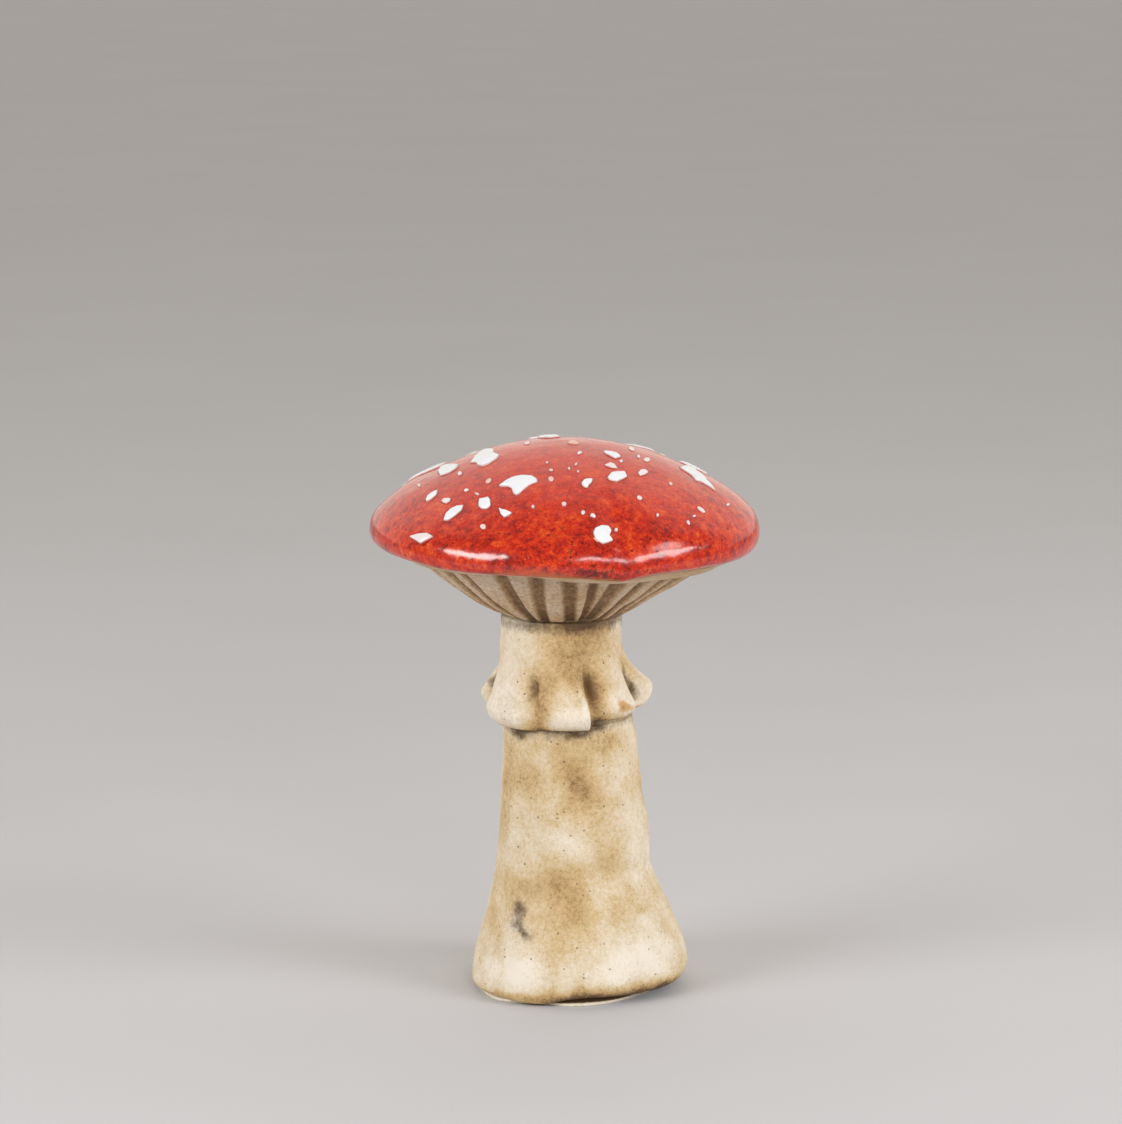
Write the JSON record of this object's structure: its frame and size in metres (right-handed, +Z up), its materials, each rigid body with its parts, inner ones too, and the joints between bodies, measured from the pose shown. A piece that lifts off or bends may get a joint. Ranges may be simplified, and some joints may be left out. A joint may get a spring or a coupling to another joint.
{
  "type": "ceramic toadstool ornament",
  "caption": "Free-standing toadstool ornament: red glazed cap with raised white flecks and gilled underside, on a stained clay stem with a frilled ring and a bulbous foot.",
  "frame": {"origin": "centre of the cap's axis, on the surface that the foot stands on", "axes": "+Z up along the cap's axis, front towards -Y, foot leaning towards +X"},
  "size_m": [0.0628, 0.0628, 0.0896],
  "materials": {
    "clay": "unglazed, rubbed with brown stain",
    "slip": "unglazed, dark stained",
    "red_glaze": "glossy mottled glaze",
    "white_glaze": "glossy raised glaze"
  },
  "bodies": {
    "root": {"base_plate": "clay", "base_slip": "slip", "stem": "clay", "collar_slip": "slip", "neck_collar": "clay", "neck_slip": "slip", "gill_cone": "clay", "rim_slip": "slip", "cap_dome": "clay", "red_glaze": "red_glaze", "spots_large": "white_glaze", "spots_medium": "white_glaze", "spots_small": "white_glaze"}
  },
  "joints": []
}
